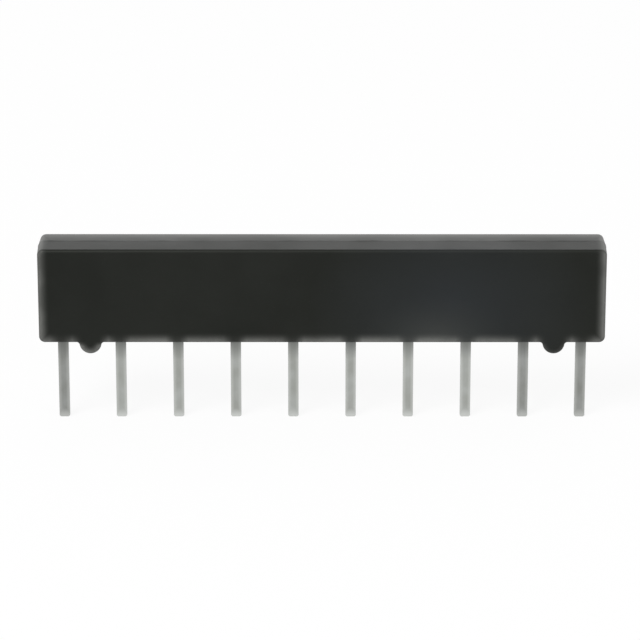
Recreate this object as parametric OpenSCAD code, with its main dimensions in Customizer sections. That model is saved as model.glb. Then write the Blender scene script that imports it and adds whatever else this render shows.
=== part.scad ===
// Moulded single in-line resistor network, in millimetres.
// The origin is the middle of the lead row on the board surface. X runs along the row, with lead 1 at
// the negative end. The front face looks along -Y and Z points up, away from the board.

/* [Leads] */
// Number of leads in the row
lead_count = 10; // [4:1:14]
// Distance from one lead's centre to the next
pitch = 2.54; // [2.4:0.02:2.8]
// Width of a lead, along the row
lead_w = 0.46; // [0.4:0.02:0.6]
// Thickness of the strip that the leads are stamped from
lead_t = 0.25; // [0.2:0.01:0.3]
// Length of a lead below the board surface
lead_len = 3.3; // [2.6:0.1:5]
// Chamfer on the corners of a lead's tip
tip_chamfer = 0.06; // [0.02:0.01:0.12]

/* [Body] */
// Moulding beyond the centre of an end lead, at the parting line
body_end = 1.02; // [0.96:0.02:1.3]
// Height of the moulding, at the parting line
body_h = 4.35; // [4.2:0.05:8]
// Thickness of the moulding, from the front face to the rear face
body_t = 2.45; // [2.3:0.05:3]
// Draft of the mould on each side of the parting line, in degrees
draft = 2; // [0.5:0.5:5]
// Radius round the edges of the front and rear faces
edge_r = 0.15; // [0.05:0.01:0.18]
// Radius of the four corners of the front view, at the parting line
corner_r = 0.3; // [0.24:0.02:0.5]

/* [Standoffs] */
// Height of the moulding above the board
standoff_h = 0.5; // [0.3:0.05:0.7]
// Radius of a half-round standoff, at the parting line
standoff_r = 0.52; // [0.4:0.02:0.6]
// Width of the flat that rests on the board, at the parting line
foot_w = 0.3; // [0.2:0.02:0.4]

/* [Substrate] */
// Thickness of the ceramic plate
plate_t = 0.635; // [0.5:0.005:0.8]
// Moulding below the plate
bottom_cover = 0.9; // [0.8:0.05:1.2]
// Moulding above the plate
top_cover = 0.45; // [0.3:0.05:0.6]
// Moulding at each end of the plate
end_cover = 0.4; // [0.3:0.05:0.42]

/* [Clips] */
// Width of one tine
tine_w = 0.27; // [0.2:0.01:0.28]
// Slit between neighbouring tines
tine_slit = 0.06; // [0.03:0.01:0.07]
// Length of a tine along the plate
tine_grip = 0.85; // [0.6:0.05:1]
// Angle of the bends that spread the tines, in degrees
spread_angle = 50; // [40:1:60]
// Height of the flat head below the spread tines
head_h = 0.2; // [0.15:0.01:0.25]
// Clearance between the bends and the plate's lower edge
throat_clear = 0.02; // [0.01:0.01:0.05]

/* [Printed films] */
// Thickness of the conductor film
conductor_t = 0.02; // [0.01:0.001:0.03]
// Pad beyond the clip on each side
pad_margin = 0.06; // [0.03:0.01:0.08]
// Bare plate below the pads
pad_edge = 0.1; // [0.05:0.01:0.15]
// Width of the track that joins lead 1's pad to the bus
riser_w = 0.6; // [0.4:0.05:0.9]
// Width of the bus
bus_w = 0.35; // [0.2:0.05:0.4]
// Bare plate above the bus
bus_edge = 0.15; // [0.1:0.01:0.2]
// Thickness of the resistor film
resistor_t = 0.02; // [0.01:0.001:0.03]
// Width of a resistor
resistor_w = 0.96; // [0.7:0.02:1]
// Length of resistor film that lies on a conductor
resistor_lap = 0.15; // [0.1:0.01:0.2]
// Width of the step where the film climbs onto a conductor
film_step = 0.04; // [0.02:0.01:0.06]
// Length of the trim cut into a resistor's side
trim_cut = 0.45; // [0.2:0.05:0.6]
// Width of the trim cut
trim_kerf = 0.05; // [0.03:0.01:0.08]
// Thickness of the glass coat over the resistor film
glaze_t = 0.02; // [0.01:0.005:0.04]
// Glass coat below the resistors
glaze_lap = 0.05; // [0.03:0.01:0.08]
// Bare plate beyond the glass coat
glaze_edge = 0.05; // [0.03:0.01:0.08]

/* [Solder] */
// Height of a solder joint above its pad
solder_t = 0.2; // [0.1:0.01:0.22]
// Angle of the solder's sides to the pad, in degrees
solder_angle = 60; // [50:1:75]
// Solder beyond the end of the tines
solder_over = 0.16; // [0.14:0.01:0.25]
// Bare pad between the solder and the glass coat
solder_gap = 0.05; // [0.03:0.01:0.1]

/* [Hidden] */
$fn = 64;

row_len = (lead_count - 1) * pitch;
body_len = row_len + 2 * body_end;
body_top = standoff_h + body_h;
// How far draft draws in each face from the parting line to the front face
draft_in = body_t / 2 * tan(draft);
// Standoffs lie midway between the two leads at each end
standoff_x = row_len / 2 - pitch / 2;
// Height of a standoff's axis, at which the flat has its width
foot_z = sqrt(pow(standoff_r, 2) - pow(foot_w / 2, 2));

plate_len = body_len - 2 * end_cover;
plate_bottom = standoff_h + bottom_cover;
plate_top = body_top - top_cover;
// Distances from the parting plane of the faces of the plate, the conductors, a resistor on a
// conductor, and the glass coat
plate_y = plate_t / 2;
conductor_y = plate_y + conductor_t;
resistor_y = conductor_y + resistor_t;
glaze_y = resistor_y + glaze_t;

clip_w = 3 * tine_w + 2 * tine_slit;
tine_x = tine_w + tine_slit;
tine_top = plate_bottom + tine_grip;
// Front tines lie on the pads, and the rear tine lies on the bare plate
front_tine_y = -(conductor_y + lead_t / 2);
rear_tine_y = plate_y + lead_t / 2;
// The inner corner of the upper bend stays just below the plate's edge
spread_top = plate_bottom - throat_clear - lead_t / 2 * tan(spread_angle / 2);
head_top = spread_top - abs(front_tine_y) / tan(spread_angle);
head_bottom = head_top - head_h;

pad_w = clip_w + 2 * pad_margin;
pad_bottom = plate_bottom + pad_edge;
solder_top = tine_top + solder_over;
glaze_bottom = solder_top + solder_gap;
resistor_bottom = glaze_bottom + glaze_lap;
pad_top = resistor_bottom + resistor_lap;
bus_top = plate_top - bus_edge;
bus_bottom = bus_top - bus_w;

// Stretch by which a cutting tool runs past the face that it cuts
past = 1;

function lead_x(i) = (i - 1) * pitch - row_len / 2;

function unit(v) = v / norm(v);
function left_of(v) = [-v[1], v[0]] / norm(v);
function before(points, i) = points[(i + len(points) - 1) % len(points)];
function after(points, i) = points[(i + 1) % len(points)];
function half_angle(points, i) =
  let (a = unit(before(points, i) - points[i]), b = unit(after(points, i) - points[i])) acos(a * b) / 2;
// Point on the edge from a corner towards its neighbour, where the corner's arc ends
function arc_end(points, i, neighbour, r) =
  points[i] + unit(neighbour - points[i]) * r / tan(half_angle(points, i));
function arc_centre(points, i, r) =
  let (a = unit(before(points, i) - points[i]), b = unit(after(points, i) - points[i]))
    points[i] + unit(a + b) * r / sin(half_angle(points, i));

// Offset direction at a point of a path, mitred where the path bends
function mitre(path, i) =
  let (
    last = len(path) - 1,
    into = left_of(path[max(i, 1)] - path[max(i, 1) - 1]),
    out = left_of(path[min(i, last - 1) + 1] - path[min(i, last - 1)])
  ) (into + out) / (1 + into * out);
// Outline of a bent strip of even thickness that follows a path
function strip(path, t) = concat(
  [for (i = [0:len(path) - 1]) path[i] + mitre(path, i) * t / 2],
  [for (i = [len(path) - 1:-1:0]) path[i] - mitre(path, i) * t / 2]);

// Polygon with an arc of its own radius at each corner, and a sharp corner where the radius is 0
module rounded_polygon(points, radii) {
  corners = [0:len(points) - 1];
  polygon([for (i = corners) each radii[i] == 0 ? [points[i]] : [
    arc_end(points, i, before(points, i), radii[i]),
    arc_end(points, i, after(points, i), radii[i])]]);
  for (i = corners)
    if (radii[i] > 0)
      translate(arc_centre(points, i, radii[i])) circle(radii[i]);
}

// Outline in the Y-Z plane, extruded along X about its middle
module along_x(length) {
  rotate([90, 0, 90]) linear_extrude(length, center = true) children();
}

// Outline in the X-Z plane, extruded along Y from y = 0 towards the front
module forward(length) {
  rotate([90, 0, 0]) linear_extrude(length) children();
}

// Outline in the X-Z plane, extruded along Y about the parting plane
module along_y(length) {
  rotate([90, 0, 0]) linear_extrude(length, center = true) children();
}

module rectangle(x0, x1, z0, z1) {
  translate([x0, z0]) square([x1 - x0, z1 - z0]);
}

// Section of a side as deep as the corner radius, with draft from the parting line to its rounded edges
module side_section() {
  corners = [
    [-body_t / 2, -past], [-body_t / 2, corner_r - draft_in], [0, corner_r],
    [body_t / 2, corner_r - draft_in], [body_t / 2, -past]];
  intersection() {
    rounded_polygon(corners, [0, edge_r, 0, edge_r, 0]);
    rectangle(-body_t, body_t, 0, corner_r);
  }
}

// Section of the given width at the parting line, between two sides
module drafted_section(width) {
  core = width / 2 - corner_r;
  rectangle(-body_t / 2, body_t / 2, -core, core);
  for (side = [0, 1])
    mirror([0, side]) translate([0, core]) side_section();
}

// Solid turned about an axis along Y, from +X towards +Z, with the height of its section as the radius
module turned(angle) {
  rotate([90, 0, 0]) rotate_extrude(angle = angle) rotate(-90) children();
}

// Half-round standoff, flush with the faces and turned from the sides' section, so that it has the same
// draft and rounded edges, with a flat below
module standoff() {
  difference() {
    translate([0, 0, foot_z]) turned(360) {
      rectangle(-body_t / 2, body_t / 2, 0, standoff_r - corner_r);
      translate([0, standoff_r - corner_r]) side_section();
    }
    along_y(body_t + 2 * past) rectangle(-standoff_r, standoff_r, -past, 0);
  }
}

// The moulding with nothing inside it: a bar for its length and one for its height, with turned corners
// between their ends, and the standoffs
module body_block() {
  translate([0, 0, standoff_h + body_h / 2]) {
    along_x(body_len - 2 * corner_r) drafted_section(body_h);
    rotate([0, 0, 90]) linear_extrude(body_h - 2 * corner_r, center = true) drafted_section(body_len);
    for (side = [0, 1], below = [0, 1])
      mirror([side, 0, 0]) mirror([0, 0, below])
        translate([body_len / 2 - corner_r, 0, body_h / 2 - corner_r]) turned(90) side_section();
  }
  for (side = [-1, 1])
    translate([side * standoff_x, 0, 0]) standoff();
}

// The moulding takes the form of all that it is moulded round
module moulded_body() {
  color([0.13, 0.13, 0.125])
    difference() {
      body_block();
      substrate();
      common_conductor();
      overglaze();
      for (i = [2:lead_count]) {
        pad(i);
        resistor(i);
      }
      for (i = [1:lead_count]) {
        lead(i);
        solder(i);
      }
    }
}

module substrate() {
  color([0.93, 0.92, 0.88])
    along_y(plate_t) rectangle(-plate_len / 2, plate_len / 2, plate_bottom, plate_top);
}

// A film printed on the front of the plate, from one distance off the parting plane to another
module film(near, far) {
  translate([0, -near, 0]) forward(far - near) children();
}

module pad_outline(i) {
  rectangle(lead_x(i) - pad_w / 2, lead_x(i) + pad_w / 2, pad_bottom, pad_top);
}

module pad(i) {
  color([0.72, 0.71, 0.68]) film(plate_y, conductor_y) pad_outline(i);
}

// Pad of lead 1, the riser above it and the bus that feeds every resistor
module common_conductor() {
  color([0.72, 0.71, 0.68])
    film(plate_y, conductor_y) {
      pad_outline(1);
      rectangle(lead_x(1) - riser_w / 2, lead_x(1) + riser_w / 2, pad_bottom, bus_top);
      rectangle(lead_x(1) - riser_w / 2, lead_x(lead_count) + pad_w / 2, bus_bottom, bus_top);
    }
}

// Resistor film from a pad to the bus, with a step where it climbs onto each conductor
module resistor(i) {
  left = lead_x(i) - resistor_w / 2;
  right = lead_x(i) + resistor_w / 2;
  middle = (pad_top + bus_bottom) / 2;
  color([0.16, 0.16, 0.18])
    difference() {
      union() {
        film(plate_y, plate_y + resistor_t) rectangle(left, right, pad_top, bus_bottom);
        film(plate_y, resistor_y) {
          rectangle(left, right, pad_top, pad_top + film_step);
          rectangle(left, right, bus_bottom - film_step, bus_bottom);
        }
        film(conductor_y, resistor_y) {
          rectangle(left, right, resistor_bottom, pad_top);
          rectangle(left, right, bus_bottom, bus_bottom + resistor_lap);
        }
      }
      film(plate_y - past, resistor_y + past)
        rectangle(left - past, left + trim_cut, middle - trim_kerf / 2, middle + trim_kerf / 2);
    }
}

// Glass coat with a flat face, which fills in round the films below it
module overglaze() {
  color([0.2, 0.42, 0.34])
    difference() {
      film(plate_y, glaze_y)
        rectangle(glaze_edge - plate_len / 2, plate_len / 2 - glaze_edge,
          glaze_bottom, plate_top - glaze_edge);
      common_conductor();
      for (i = [2:lead_count]) {
        pad(i);
        resistor(i);
      }
    }
}

// One tine of a clip, bent out from the head and up along a face of the plate
module tine(x, y) {
  path = [[0, head_bottom], [0, spread_top - abs(y) / tan(spread_angle)], [y, spread_top], [y, tine_top]];
  translate([x, 0, 0]) along_x(tine_w) polygon(strip(path, lead_t));
}

// Stamped strip: straight shank, wider head, and a clip of two front tines and one rear tine
module lead(i) {
  color([0.75, 0.75, 0.74])
    translate([lead_x(i), 0, 0]) {
      along_y(lead_t) {
        polygon([
          [-lead_w / 2, head_bottom], [-lead_w / 2, tip_chamfer - lead_len],
          [tip_chamfer - lead_w / 2, -lead_len], [lead_w / 2 - tip_chamfer, -lead_len],
          [lead_w / 2, tip_chamfer - lead_len], [lead_w / 2, head_bottom]]);
        rectangle(-clip_w / 2, clip_w / 2, head_bottom, head_top);
      }
      tine(-tine_x, front_tine_y);
      tine(0, rear_tine_y);
      tine(tine_x, front_tine_y);
    }
}

// Section of a solder joint on a pad that reaches from one value to another
module solder_section(low, high) {
  inset = solder_t / tan(solder_angle);
  polygon([
    [-conductor_y, low], [-conductor_y, high],
    [-conductor_y - solder_t, high - inset], [-conductor_y - solder_t, low + inset]]);
}

// Solder wets the whole pad below the glass coat and rises round the front tines
module solder(i) {
  color([0.66, 0.67, 0.68])
    difference() {
      translate([lead_x(i), 0, 0])
        intersection() {
          along_x(pad_w) solder_section(pad_bottom, solder_top);
          rotate([0, 0, 90]) linear_extrude(body_top) solder_section(-pad_w / 2, pad_w / 2);
        }
      lead(i);
    }
}

moulded_body();
substrate();
common_conductor();
overglaze();
for (i = [2:lead_count]) {
  pad(i);
  resistor(i);
}
for (i = [1:lead_count]) {
  lead(i);
  solder(i);
}
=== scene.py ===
"""Looks of a moulded single in-line resistor network: materials, mould trim, studio and camera."""

import math

import bmesh
import bpy
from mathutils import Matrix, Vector, noise


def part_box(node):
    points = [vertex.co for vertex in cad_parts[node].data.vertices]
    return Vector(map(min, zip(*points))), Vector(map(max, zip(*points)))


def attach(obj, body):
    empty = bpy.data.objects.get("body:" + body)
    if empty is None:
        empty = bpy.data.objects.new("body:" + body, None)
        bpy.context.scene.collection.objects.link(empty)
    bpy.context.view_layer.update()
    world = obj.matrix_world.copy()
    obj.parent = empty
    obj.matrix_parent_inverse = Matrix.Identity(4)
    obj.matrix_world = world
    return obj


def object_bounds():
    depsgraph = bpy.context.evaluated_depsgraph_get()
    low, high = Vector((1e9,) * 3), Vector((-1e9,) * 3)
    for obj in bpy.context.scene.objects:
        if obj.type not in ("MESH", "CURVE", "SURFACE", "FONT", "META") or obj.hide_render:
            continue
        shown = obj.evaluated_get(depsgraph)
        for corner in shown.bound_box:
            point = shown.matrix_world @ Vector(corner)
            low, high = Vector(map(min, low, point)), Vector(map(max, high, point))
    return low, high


MM = 0.001

# Camera, from the photograph's 640 by 640 frame
IMAGE_PX = 640
SENSOR_WIDTH = 36.0
FOCAL_PX = 3771.0
CAMERA_DISTANCE = 166.7 * MM
CAMERA_ELEVATION = math.radians(19.33)
CLIP_START = 1 * MM
# Where the middle of the lead row on the board surface shows
ORIGIN_PX = Vector((322.0, 345.4))

# Studio
FLOOR_SIZE = 3.0
FLOOR_ALBEDO = 0.88
FLOOR_WHITE_SHARE = 0.9
WORLD_STRENGTH = 0.6

# The moulding and the leads, as the solids have them
STANDOFF_HEIGHT = 0.5 * MM
STANDOFF_RADIUS = 0.52 * MM
FOOT_HALF_WIDTH = 0.15 * MM
STANDOFF_AXIS = math.sqrt(STANDOFF_RADIUS ** 2 - FOOT_HALF_WIDTH ** 2)
CORNER_RADIUS = 0.3 * MM
EDGE_RADIUS = 0.15 * MM
DRAFT = math.radians(2)
LEAD_HALF_WIDTH = 0.23 * MM
LEAD_PITCH = 2.54 * MM
FOOT_X = 4 * LEAD_PITCH

# Rolled edges of the leads
LEAD_EDGE_RADIUS = 0.03 * MM
LEAD_EDGE_SEGMENTS = 3
LEAD_EDGE_ANGLE = math.radians(60)

# Flash along the parting line
FLASH_STEP = 0.08 * MM
FLASH_REACH = 0.008 * MM
FLASH_BASE = 0.016 * MM
FLASH_TIP = 0.008 * MM
FLASH_ROOT = 0.004 * MM
FLASH_WAVE = 1.3 * MM
FLASH_RIPPLE = 0.3 * MM
FLASH_RIPPLE_SHARE = 0.5
FLASH_MIDDLE = 0.5
FLASH_LEAST = 0.15
# Z of an outward direction, below which it counts as facing down
DOWNWARD = -0.9

# Fillets at the standoffs' roots
FILLET_RADIUS = 0.15 * MM
FILLET_ROOT = 0.02 * MM
FILLET_STEPS = 8
# Degrees round the moulding's front and rear edges at which a fillet has a section
ROUND_STEPS = (0, 15, 30, 45, 60)

# Parts of a noise's range that turn into a change of colour or of roughness
NOISE_CORE = (0.35, 0.68)
NOISE_WIDE = (0.3, 0.7)

# Black epoxy: resin, filler grains, and a broad and a low painted highlight on the front face
RESIN_DARK = (0.0053, 0.0059, 0.0050)
RESIN_PALE = (0.0082, 0.0089, 0.0079)
HAZE_SIZE = 3 * MM
FILLER = (0.026, 0.026, 0.024)
FILLER_SPACING = 0.15 * MM
FILLER_GRAIN = (0.03, 0.09)
# Broad painted highlight: a painted reflection spread over the right part of the front face
BROAD_HIGHLIGHT = (0.0130, 0.0150, 0.0178)
BROAD_HIGHLIGHT_X = 5.7 * MM
BROAD_HIGHLIGHT_Z = 2.3 * MM
BROAD_HIGHLIGHT_REACH = (6.3 * MM, 2 * MM, 4.5 * MM)
# Low painted highlight near the front face's bottom edge, a painted reflection of the floor
LOW_HIGHLIGHT = (0.034, 0.036, 0.035)
LOW_HIGHLIGHT_X = 5.0 * MM
LOW_HIGHLIGHT_Z = 0.6 * MM
LOW_HIGHLIGHT_REACH = (3.8 * MM, 2 * MM, 2.5 * MM)
EPOXY_IOR = 1.28
EPOXY_TINT = (0.955, 1.0, 0.90, 1)
EPOXY_ROUGHNESS = (0.36, 0.46)
SCUFF_SIZE = 0.5 * MM
SCUFF_STRETCH = (0.35, 1, 1)
SCUFF_DEPTH = 0.004 * MM
GRAIN_SIZE = 0.05 * MM
GRAIN_DEPTH = 0.003 * MM

# Painted rim highlight mixed with wear on the epoxy's edges, and the bands along X, Y and Z that it fades
# over
EDGE_SHEEN_AND_WEAR = (0.235, 0.237, 0.225)
SHEEN_AND_WEAR_BANDS = (0.55 * MM, 0.3 * MM, 0.55 * MM)
CREST_SHEEN_BANDS = (0.55 * MM, 1.1 * MM, 0.4 * MM)
SHEEN_AND_WEAR_FALL = 2.2
WEAR_PATCH = 1.5 * MM
WEAR_PATCH_RANGE = (0.35, 0.65)
WEAR_PATCH_LEAST = 0.6
# Where the painted rim highlight fades out on the lower edge next to the leads and the standoffs
LEAD_RIM_GAP = (0.1 * MM, 0.5 * MM)
LEAD_RIM_GAP_LEAST = 0.4
FOOT_RIM_GAP = (0.3 * MM, 0.8 * MM)
# Moves a side of a box so far off that none of its edges shows the painted rim highlight and wear
FAR = 3

# Painted rim highlight mixed with wear round the standoffs, with pairs of values for the left one and the
# right one
RIM_STARTS = (0.1 * STANDOFF_RADIUS, 0.4 * STANDOFF_RADIUS)
RIM_SHARES = (1.2, 0.75)
STANDOFF_SHEEN_AND_WEAR = 0.85
RIM_FADE = (-0.15 * MM, 0.1 * MM)
RIM_DEPTH_START = 0.6

# Tin on the leads: colours of the painted highlight on the edges and tips, and of the bright and dark
# clouds on the faces
TIN = ((0.57, 0.585, 0.565), (0.447, 0.463, 0.445), (0.36, 0.371, 0.347))
DULL_TIN = ((0.46, 0.47, 0.453), (0.345, 0.355, 0.346), (0.256, 0.263, 0.246))
DULL_LEADS = (1, 9, 10)
CLOUD_SIZE = 0.9 * MM
DRAWN_SIZE = 0.09 * MM
DRAWN_STRETCH = (1, 1, 0.06)
DRAWN_LINES = (0.55, 0.8)
DRAWN_SHARE = 0.35
DRAWN_DEPTH = 0.004 * MM
# Painted highlight along the lead edges and at the tips, and the tin's roughness
TIN_HIGHLIGHT_START = 0.08 * MM
TIN_HIGHLIGHT_SHARE = 0.8
TIN_ROUGHNESS = (0.36, 0.5)
TIP_TOP = 0.4 * MM
TIP_FULL = 0.1 * MM
# Painted shade on the leads just under the body, darkest at the root
BODY_SHADE = (0.13, 0.135, 0.13)
BODY_SHADE_BAND = (-0.6 * MM, 0.3 * MM)
BODY_SHADE_SHARES = (0.7, 0.9)
ROOT_SHADE = (0.03, 0.032, 0.03)
ROOT_START = 0.15 * MM
ROOT_SHARE = 0.8

# The plate and the films inside the moulding, with their dark and pale colours
ALUMINA = ((0.78, 0.77, 0.72), (0.88, 0.87, 0.83))
ALUMINA_IOR = 1.6
ALUMINA_ROUGHNESS = (0.5, 0.65)
ALUMINA_MOTTLE = 0.08 * MM
ALUMINA_CLOUD = 0.3 * MM
ALUMINA_GRAIN = 0.02 * MM
SILVER = ((0.50, 0.49, 0.45), (0.62, 0.61, 0.57))
GLAZE = ((0.03, 0.15, 0.10), (0.05, 0.20, 0.14))
RESISTOR_FILM = ((0.015, 0.015, 0.018), (0.035, 0.035, 0.04))
SOLDER = ((0.50, 0.51, 0.52), (0.64, 0.65, 0.66))
FILM_MOTTLE = 0.05 * MM
FILM_CLOUD = 0.2 * MM
FILM_GRAIN = 0.03 * MM
FILM_ROUGHNESS_SWING = 0.06
INNER_GRAIN_DEPTH = 0.002 * MM

# Places of the factor, the two colours and the result on a colour Mix node
MIX_INPUTS = (0, 6, 7)
MIX_RESULT = 2


class Shader:
    """A material with one Principled shader, and short calls for the nodes that feed it."""

    def __init__(self, name):
        self.material = bpy.data.materials.new(name)
        self.material.use_nodes = True
        self.nodes = self.material.node_tree.nodes
        self.links = self.material.node_tree.links
        self.coords = self.nodes.new("ShaderNodeTexCoord").outputs["Object"]

    def put(self, socket, value):
        if isinstance(value, bpy.types.NodeSocket):
            self.links.new(value, socket)
        else:
            socket.default_value = value

    def add(self, kind, **inputs):
        node = self.nodes.new("ShaderNode" + kind)
        for name, value in inputs.items():
            self.put(node.inputs[name.replace("_", " ")], value)
        return node

    def principled(self, **inputs):
        for name, value in inputs.items():
            self.put(self.nodes["Principled BSDF"].inputs[name.replace("_", " ")], value)

    def noise(self, size, detail=2.0, roughness=0.5, stretch=(1, 1, 1)):
        """Values round 0.5 in soft blobs of about the given size."""
        place = self.add("Mapping", Vector=self.coords, Scale=stretch).outputs["Vector"]
        node = self.add("TexNoise", Vector=place, Scale=1 / size, Detail=detail, Roughness=roughness)
        return node.outputs["Fac"]

    def specks(self, size):
        """Distance from the nearest of many scattered points, in spacings."""
        return self.add("TexVoronoi", Vector=self.coords, Scale=1 / size).outputs["Distance"]

    def glow(self, centre, reach):
        """1 at a point of the part, fading to 0 at a reach along each axis."""
        scale = Vector([1 / r for r in reach])
        shift = [-c * s for c, s in zip(centre, scale)]
        place = self.add("Mapping", Vector=self.coords, Scale=scale, Location=shift).outputs["Vector"]
        ball = self.add("TexGradient", Vector=place)
        ball.gradient_type = "QUADRATIC_SPHERE"
        return ball.outputs["Fac"]

    def math(self, operation, a, b=0.0):
        node = self.nodes.new("ShaderNodeMath")
        node.operation = operation
        self.put(node.inputs[0], a)
        self.put(node.inputs[1], b)
        return node.outputs[0]

    def spread(self, value, low, high, out_low=0.0, out_high=1.0):
        """A value's place between low and high, held within them, as a value between two others."""
        node = self.add("MapRange", Value=value, From_Min=low, From_Max=high, To_Min=out_low,
                        To_Max=out_high)
        return node.outputs["Result"]

    def blend(self, factor, a, b):
        node = self.nodes.new("ShaderNodeMix")
        node.data_type = "RGBA"
        for place, value in zip(MIX_INPUTS, (factor, a, b)):
            self.put(node.inputs[place], (*value, 1) if isinstance(value, tuple) else value)
        return node.outputs[MIX_RESULT]

    def bump(self, height, depth, strength=1.0, after=None):
        node = self.add("Bump", Height=height, Distance=depth, Strength=strength)
        if after is not None:
            self.links.new(after, node.inputs["Normal"])
        return node.outputs["Normal"]

    def axes(self):
        return self.add("SeparateXYZ", Vector=self.coords).outputs

    def off_lead(self):
        """Distance along the row from the middle of the nearest lead."""
        shifted = self.math("SUBTRACT", self.axes()["X"], LEAD_PITCH / 2)
        return self.math("PINGPONG", shifted, LEAD_PITCH / 2)

    def edges(self, low, high, bands):
        """1 on the edges of a box, fading to 0 at a band's width from them along each axis."""
        near = []
        for axis, a, b, band in zip(self.axes(), low, high, bands):
            off_middle = self.math("ABSOLUTE", self.math("SUBTRACT", axis, (a + b) / 2))
            near.append(self.spread(off_middle, (b - a) / 2 - band, (b - a) / 2))
        pairs = [self.math("MULTIPLY", near[i], near[i - 1]) for i in range(3)]
        return self.math("MAXIMUM", self.math("MAXIMUM", pairs[0], pairs[1]), pairs[2])


def resin_and_highlight_colour(s, haze, front):
    """Resin with pale filler grains, with a broad and a low painted highlight on the face at the given Y.
    """
    resin = s.blend(s.spread(haze, *NOISE_CORE), RESIN_DARK, RESIN_PALE)
    filled = s.blend(s.spread(s.specks(FILLER_SPACING), *FILLER_GRAIN), FILLER, resin)
    # Painted highlights on the front face: a broad one, and a low one near the bottom edge
    broad_highlight = s.math("SQRT", s.glow((BROAD_HIGHLIGHT_X, front, BROAD_HIGHLIGHT_Z), BROAD_HIGHLIGHT_REACH))
    # Low painted highlight near the bottom edge of the front face
    low_highlight = s.glow((LOW_HIGHLIGHT_X, front, LOW_HIGHLIGHT_Z), LOW_HIGHLIGHT_REACH)
    return s.blend(low_highlight, s.blend(broad_highlight, filled, BROAD_HIGHLIGHT), LOW_HIGHLIGHT)


def standoff_sheen_and_wear(s, off_foot, low, high):
    """Painted rim highlight mixed with wear round both ends of the standoffs, which stand under the given
    box.
    """
    below = s.math("SUBTRACT", low.z, s.axes()["Z"])
    off_axis = s.math("SQRT", s.math("ADD", s.math("POWER", off_foot, 2), s.math("POWER", below, 2)))
    start = s.spread(s.axes()["X"], -FOOT_X, FOOT_X, *RIM_STARTS)
    share = s.spread(s.axes()["X"], -FOOT_X, FOOT_X, *RIM_SHARES)
    rim = s.math("MULTIPLY", s.spread(off_axis, start, STANDOFF_RADIUS, 0, STANDOFF_SHEEN_AND_WEAR),
                 s.spread(below, *RIM_FADE))
    end = s.spread(s.math("ABSOLUTE", s.axes()["Y"]), RIM_DEPTH_START * high.y, high.y)
    return s.math("MULTIPLY", rim, s.math("MULTIPLY", end, share))


def edge_sheen_and_wear(s, low, high):
    """Painted rim highlight mixed with wear along every edge of the given box but the upper front one,
    and on the standoffs under it.
    """
    open_top = Vector((high.x, high.y, FAR * high.z))
    open_front = Vector((low.x, FAR * low.y, -FAR * high.z))
    open_left = Vector((FAR * low.x, FAR * low.y, -FAR * high.z))
    open_right = Vector((FAR * high.x, high.y, high.z))
    off_foot = s.math("ABSOLUTE", s.math("SUBTRACT", s.math("ABSOLUTE", s.axes()["X"]), FOOT_X))
    # Less painted rim highlight on the lower edge next to the leads and the standoffs
    rim_kept = s.math("MULTIPLY", s.spread(s.off_lead(), *LEAD_RIM_GAP, LEAD_RIM_GAP_LEAST, 1),
                    s.spread(off_foot, *FOOT_RIM_GAP))
    lower = s.math("MULTIPLY", s.edges(low, open_top, SHEEN_AND_WEAR_BANDS), rim_kept)
    upper = s.math("MAXIMUM", s.edges(open_front, high, SHEEN_AND_WEAR_BANDS),
                   s.edges(open_left, open_right, CREST_SHEEN_BANDS))
    edges = s.math("MAXIMUM", s.math("MAXIMUM", lower, standoff_sheen_and_wear(s, off_foot, low, high)), upper)
    patches = s.spread(s.noise(WEAR_PATCH, detail=3), *WEAR_PATCH_RANGE, WEAR_PATCH_LEAST, 1)
    return s.math("MULTIPLY", s.math("POWER", edges, SHEEN_AND_WEAR_FALL), patches)


def epoxy_material(low, high):
    """Black filled epoxy for a moulding whose block fills the given box."""
    s = Shader("black_epoxy")
    haze = s.noise(HAZE_SIZE, detail=4)
    scuff = s.noise(SCUFF_SIZE, detail=4, roughness=0.65, stretch=SCUFF_STRETCH)
    grain = s.bump(s.noise(GRAIN_SIZE, detail=3), GRAIN_DEPTH, strength=0.5)
    s.principled(
        IOR=EPOXY_IOR,
        Specular_Tint=EPOXY_TINT,
        Base_Color=s.blend(edge_sheen_and_wear(s, low, high), resin_and_highlight_colour(s, haze, low.y), EDGE_SHEEN_AND_WEAR),
        Roughness=s.spread(haze, *NOISE_WIDE, *EPOXY_ROUGHNESS),
        Normal=s.bump(scuff, SCUFF_DEPTH, strength=0.25, after=grain),
    )
    return s.material


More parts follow.
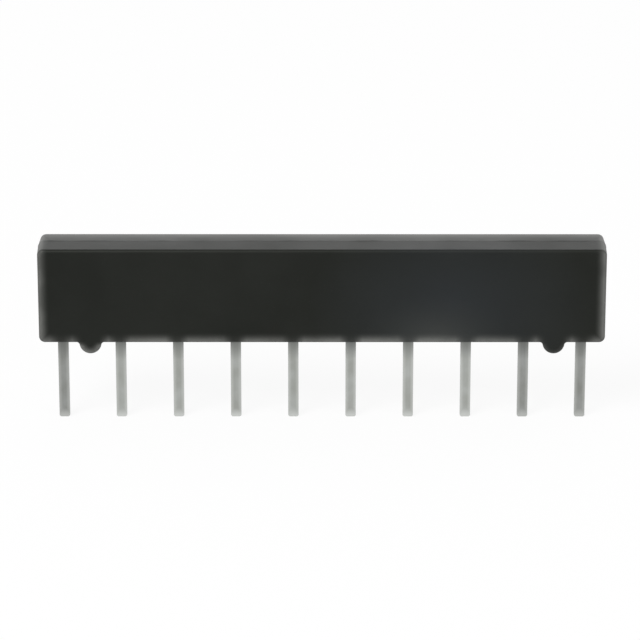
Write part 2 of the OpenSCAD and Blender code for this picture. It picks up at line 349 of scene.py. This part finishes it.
def tin_material(name, tip_z, highlight_colour, bright, dark):
    """Tin plate, with a painted highlight on the edges and at the tip, and painted shade from the body
    towards the root.
    """
    s = Shader(name)
    drawn = s.noise(DRAWN_SIZE, detail=3, stretch=DRAWN_STRETCH)
    cloud = s.noise(CLOUD_SIZE, detail=3)
    height = s.axes()["Z"]
    plate = s.blend(s.spread(cloud, *NOISE_CORE), dark, bright)
    grained = s.blend(s.spread(drawn, *DRAWN_LINES, 0, DRAWN_SHARE), plate, dark)
    # Painted highlight along the edges and at the tip
    edge = s.spread(s.off_lead(), TIN_HIGHLIGHT_START, LEAD_HALF_WIDTH, 0, TIN_HIGHLIGHT_SHARE)
    tip = s.spread(height, tip_z + TIP_TOP, tip_z + TIP_FULL)
    highlighted = s.blend(s.math("MAXIMUM", edge, tip), grained, highlight_colour)
    # Painted shade where the body's overhang keeps light off the leads
    body_shade_mask = s.math("MULTIPLY", s.spread(height, *BODY_SHADE_BAND), s.spread(cloud, *NOISE_WIDE, *BODY_SHADE_SHARES))
    under_body_shaded = s.blend(body_shade_mask, highlighted, BODY_SHADE)
    root = s.spread(height, ROOT_START, STANDOFF_HEIGHT, 0, ROOT_SHARE)
    s.principled(
        Metallic=1.0,
        Base_Color=s.blend(root, under_body_shaded, ROOT_SHADE),
        Roughness=s.spread(cloud, *NOISE_WIDE, *TIN_ROUGHNESS),
        Normal=s.bump(drawn, DRAWN_DEPTH, strength=0.4),
    )
    return s.material


def alumina_material():
    s = Shader("alumina")
    s.principled(
        IOR=ALUMINA_IOR,
        Base_Color=s.blend(s.noise(ALUMINA_MOTTLE, detail=4), *ALUMINA),
        Roughness=s.spread(s.noise(ALUMINA_CLOUD), *NOISE_WIDE, *ALUMINA_ROUGHNESS),
        Normal=s.bump(s.noise(ALUMINA_GRAIN, detail=3), INNER_GRAIN_DEPTH, strength=0.5),
    )
    return s.material


def film_material(name, dark, pale, metallic, rough):
    s = Shader(name)
    smoothest = rough - FILM_ROUGHNESS_SWING
    roughest = rough + FILM_ROUGHNESS_SWING
    s.principled(
        Metallic=metallic,
        Base_Color=s.blend(s.noise(FILM_MOTTLE, detail=4), dark, pale),
        Roughness=s.spread(s.noise(FILM_CLOUD), *NOISE_WIDE, smoothest, roughest),
        Normal=s.bump(s.noise(FILM_GRAIN), INNER_GRAIN_DEPTH, strength=0.5),
    )
    return s.material


def dress(obj, material):
    if not obj.material_slots:
        obj.data.materials.append(material)
    for slot in obj.material_slots:
        slot.material = material


def round_lead_edges(obj):
    bevel = obj.modifiers.new("rolled_edges", "BEVEL")
    bevel.width = LEAD_EDGE_RADIUS
    bevel.segments = LEAD_EDGE_SEGMENTS
    bevel.limit_method = "ANGLE"
    bevel.angle_limit = LEAD_EDGE_ANGLE


def parting_outline(low, high):
    """Points and outward directions round the moulding's outline, anticlockwise from the front."""
    r = CORNER_RADIUS
    inner_low = Vector((low.x + r, 0, STANDOFF_HEIGHT + r))
    inner_high = Vector((high.x - r, 0, high.z - r))
    centres = [
        Vector((inner_high.x, 0, inner_low.z)),
        inner_high,
        Vector((inner_low.x, 0, inner_high.z)),
        inner_low,
    ]
    stations = []
    for k, centre in enumerate(centres):
        previous = centres[k - 1]
        side = Vector((math.cos((k - 1) * math.pi / 2), 0, math.sin((k - 1) * math.pi / 2)))
        count = round((centre - previous).length / FLASH_STEP)
        stations += [(previous.lerp(centre, i / count) + side * r, side) for i in range(count)]
        turns = round(r * math.pi / 2 / FLASH_STEP)
        for i in range(turns):
            angle = (k - 1 + i / turns) * math.pi / 2
            out = Vector((math.cos(angle), 0, math.sin(angle)))
            stations.append((centre + out * r, out))
    return stations


def flash_runs(stations, lead_xs, foot_xs):
    """Stretches of the outline that no lead or standoff crosses."""
    runs = [[]]
    for point, out in stations:
        under = out.z < DOWNWARD
        at_lead = under and any(abs(point.x - x) < LEAD_HALF_WIDTH for x in lead_xs)
        at_foot = under and any(abs(point.x - x) < STANDOFF_RADIUS + FILLET_RADIUS for x in foot_xs)
        if at_lead or at_foot:
            if runs[-1]:
                runs.append([])
        else:
            runs[-1].append((point, out))
    return [runs[-1] + runs[0]] + runs[1:-1]


def loft(bm, rings):
    """Closed skin over rings of points that have the same count."""
    count = len(rings[0])
    for a, b in zip(rings, rings[1:]):
        for i in range(count):
            bm.faces.new((a[i], b[i], b[i - count + 1], a[i - count + 1]))
    bm.faces.new(rings[0])
    bm.faces.new(rings[-1])


def add_trim(name, bm, material):
    """Piece of the moulding from a finished bmesh."""
    bmesh.ops.recalc_face_normals(bm, faces=bm.faces)
    mesh = bpy.data.meshes.new(name)
    bm.to_mesh(mesh)
    bm.free()
    trim = bpy.data.objects.new(name, mesh)
    bpy.context.scene.collection.objects.link(trim)
    dress(trim, material)
    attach(trim, "root")


def fillet_section(y, half_depth):
    """Points in X, from a standoff's axis, and Z round the fillet on its right, at the given Y."""
    into_round = max(EDGE_RADIUS - half_depth + abs(y), 0)
    inset = abs(y) * math.tan(DRAFT) + EDGE_RADIUS - math.sqrt(EDGE_RADIUS ** 2 - into_round ** 2)
    ceiling = STANDOFF_HEIGHT + inset
    centre_z = ceiling - FILLET_RADIUS
    rise = STANDOFF_AXIS - centre_z
    centre_x = math.sqrt((STANDOFF_RADIUS - inset + FILLET_RADIUS) ** 2 - rise ** 2)
    last = math.atan2(rise, -centre_x)
    points = [(centre_x, ceiling + FILLET_ROOT)]
    for i in range(FILLET_STEPS + 1):
        angle = math.pi / 2 + (last - math.pi / 2) * i / FILLET_STEPS
        x = centre_x + FILLET_RADIUS * math.cos(angle)
        z = centre_z + FILLET_RADIUS * math.sin(angle)
        points.append((x, z))
    points.append((points[-1][0] - FILLET_ROOT, ceiling + FILLET_ROOT))
    return points


def add_fillets(half_depth, foot_xs, material):
    reaches = [half_depth - EDGE_RADIUS * (1 - math.sin(math.radians(turn))) for turn in ROUND_STEPS]
    stations = [-y for y in reversed(reaches)] + [0] + reaches
    bm = bmesh.new()
    for foot_x in foot_xs:
        for side in (-1, 1):
            rings = []
            for y in stations:
                section = fillet_section(y, half_depth)
                rings.append([bm.verts.new((foot_x + side * x, y, z)) for x, z in section])
            loft(bm, rings)
    add_trim("standoff_fillets", bm, material)


def add_flash(low, high, lead_xs, foot_xs, material):
    bm = bmesh.new()
    for run in flash_runs(parting_outline(low, high), lead_xs, foot_xs):
        rings = []
        for point, out in run:
            ripple = FLASH_RIPPLE_SHARE * noise.noise(point / FLASH_RIPPLE)
            swell = noise.noise(point / FLASH_WAVE) + ripple
            height = FLASH_REACH * min(max(FLASH_MIDDLE + swell, FLASH_LEAST), 1)
            rings.append([
                bm.verts.new(point + out * reach + Vector((0, y, 0)))
                for reach, y in (
                    (-FLASH_ROOT, -FLASH_BASE / 2), (height, -FLASH_TIP / 2),
                    (height, FLASH_TIP / 2), (-FLASH_ROOT, FLASH_BASE / 2))
            ])
        loft(bm, rings)
    add_trim("parting_flash", bm, material)


def look_at(obj, target):
    obj.rotation_euler = (Vector(target) - obj.location).to_track_quat("-Z", "Y").to_euler()


def add_camera():
    forward = Vector((0, math.cos(CAMERA_ELEVATION), -math.sin(CAMERA_ELEVATION)))
    up = Vector((0, math.sin(CAMERA_ELEVATION), math.cos(CAMERA_ELEVATION)))
    right = Vector((1, 0, 0))
    metres_per_px = CAMERA_DISTANCE / FOCAL_PX
    offset = ORIGIN_PX - Vector((IMAGE_PX / 2, IMAGE_PX / 2))
    data = bpy.data.cameras.new("camera")
    data.sensor_width = SENSOR_WIDTH
    data.lens = FOCAL_PX / IMAGE_PX * SENSOR_WIDTH
    data.clip_start = CLIP_START
    camera = bpy.data.objects.new("camera", data)
    bpy.context.scene.collection.objects.link(camera)
    camera.location = -forward * CAMERA_DISTANCE
    look_at(camera, (up * offset.y - right * offset.x) * metres_per_px)
    bpy.context.scene.camera = camera


def add_softbox(name, location, target, size, power, shine=True):
    data = bpy.data.lights.new(name, "AREA")
    data.shape = "RECTANGLE"
    data.size = size[0]
    data.size_y = size[1]
    data.energy = power
    lamp = bpy.data.objects.new(name, data)
    bpy.context.scene.collection.objects.link(lamp)
    lamp.location = location
    lamp.visible_camera = False
    lamp.visible_glossy = shine
    look_at(lamp, target)


def shown_ray(nodes, links):
    """1 for rays that show a surface as it looks: from the camera, off gloss, or through glass."""
    path = nodes.new("ShaderNodeLightPath")
    shown = path.outputs["Is Camera Ray"]
    for name in ("Is Glossy Ray", "Is Transmission Ray"):
        either = nodes.new("ShaderNodeMath")
        either.operation = "MAXIMUM"
        links.new(shown, either.inputs[0])
        links.new(path.outputs[name], either.inputs[1])
        shown = either.outputs[0]
    return shown


def add_world():
    world = bpy.data.worlds.new("studio")
    bpy.context.scene.world = world
    world.use_nodes = True
    nodes = world.node_tree.nodes
    links = world.node_tree.links
    nodes.clear()
    light = nodes.new("ShaderNodeBackground")
    light.inputs["Strength"].default_value = WORLD_STRENGTH
    white = nodes.new("ShaderNodeBackground")
    for background in (light, white):
        background.inputs["Color"].default_value = (1, 1, 1, 1)
    mix = nodes.new("ShaderNodeMixShader")
    output = nodes.new("ShaderNodeOutputWorld")
    links.new(shown_ray(nodes, links), mix.inputs["Fac"])
    links.new(light.outputs[0], mix.inputs[1])
    links.new(white.outputs[0], mix.inputs[2])
    links.new(mix.outputs[0], output.inputs["Surface"])


def add_floor(height):
    mesh = bpy.data.meshes.new("floor")
    half = FLOOR_SIZE / 2
    corners = [(-half, -half, height), (half, -half, height), (half, half, height), (-half, half, height)]
    mesh.from_pydata(corners, [], [(0, 1, 2, 3)])
    floor = bpy.data.objects.new("floor", mesh)
    bpy.context.scene.collection.objects.link(floor)
    material = bpy.data.materials.new("white_sweep")
    material.use_nodes = True
    nodes = material.node_tree.nodes
    links = material.node_tree.links
    nodes.clear()
    paper = nodes.new("ShaderNodeBsdfDiffuse")
    paper.inputs["Color"].default_value = (FLOOR_ALBEDO, FLOOR_ALBEDO, FLOOR_ALBEDO, 1)
    white = nodes.new("ShaderNodeEmission")
    share = nodes.new("ShaderNodeMath")
    share.operation = "MULTIPLY"
    share.inputs[1].default_value = FLOOR_WHITE_SHARE
    mix = nodes.new("ShaderNodeMixShader")
    output = nodes.new("ShaderNodeOutputMaterial")
    links.new(shown_ray(nodes, links), share.inputs[0])
    links.new(share.outputs[0], mix.inputs["Fac"])
    links.new(paper.outputs[0], mix.inputs[1])
    links.new(white.outputs[0], mix.inputs[2])
    links.new(mix.outputs[0], output.inputs["Surface"])
    mesh.materials.append(material)


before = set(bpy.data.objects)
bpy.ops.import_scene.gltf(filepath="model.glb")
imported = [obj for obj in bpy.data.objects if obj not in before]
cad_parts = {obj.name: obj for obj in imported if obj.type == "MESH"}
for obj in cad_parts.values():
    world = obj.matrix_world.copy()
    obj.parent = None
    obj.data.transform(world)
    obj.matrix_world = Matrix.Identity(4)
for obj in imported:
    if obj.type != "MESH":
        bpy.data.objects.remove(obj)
cad_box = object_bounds()
body_low, body_high = [Vector(corner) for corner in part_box("moulded_body")]

floor_z = cad_box[0][2]
epoxy = epoxy_material(Vector((body_low.x, body_low.y, STANDOFF_HEIGHT)), body_high)
bright_tin = tin_material("tin", floor_z, *TIN)
dull_tin = tin_material("dull_tin", floor_z, *DULL_TIN)
silver = film_material("silver_film", *SILVER, metallic=1.0, rough=0.45)
inner = {
    "substrate": alumina_material(),
    "common_conductor": silver,
    "pad": silver,
    "overglaze": film_material("green_glaze", *GLAZE, metallic=0.0, rough=0.15),
    "resistor": film_material("resistor_film", *RESISTOR_FILM, metallic=0.0, rough=0.5),
    "solder": film_material("solder", *SOLDER, metallic=1.0, rough=0.3),
}

lead_xs = []
for name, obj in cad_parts.items():
    kind, _, number = name.rpartition("_")
    if kind == "lead":
        dress(obj, dull_tin if int(number) in DULL_LEADS else bright_tin)
        round_lead_edges(obj)
        lead_xs.append(sum(corner[0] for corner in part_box(name)) / 2)
    elif name == "moulded_body":
        dress(obj, epoxy)
    else:
        dress(obj, inner.get(name) or inner[kind])

foot_xs = (-FOOT_X, FOOT_X)
add_fillets(body_high.y, foot_xs, epoxy)
add_flash(body_low, body_high, lead_xs, foot_xs, epoxy)

add_camera()
add_world()
add_floor(floor_z)
add_softbox("key", location=(-0.25, -0.35, 0.45), target=(0, 0, 0), size=(0.3, 0.3), power=2.6)
add_softbox("fill", location=(0.3, -0.3, 0.12), target=(0.004, 0, 0), size=(0.12, 0.08), power=0.35,
            shine=False)
add_softbox("back", location=(0, 0.5, 0.125), target=(0, 0, 0.005), size=(0.6, 0.07), power=0.12)

bpy.context.scene.view_settings.view_transform = "Standard"
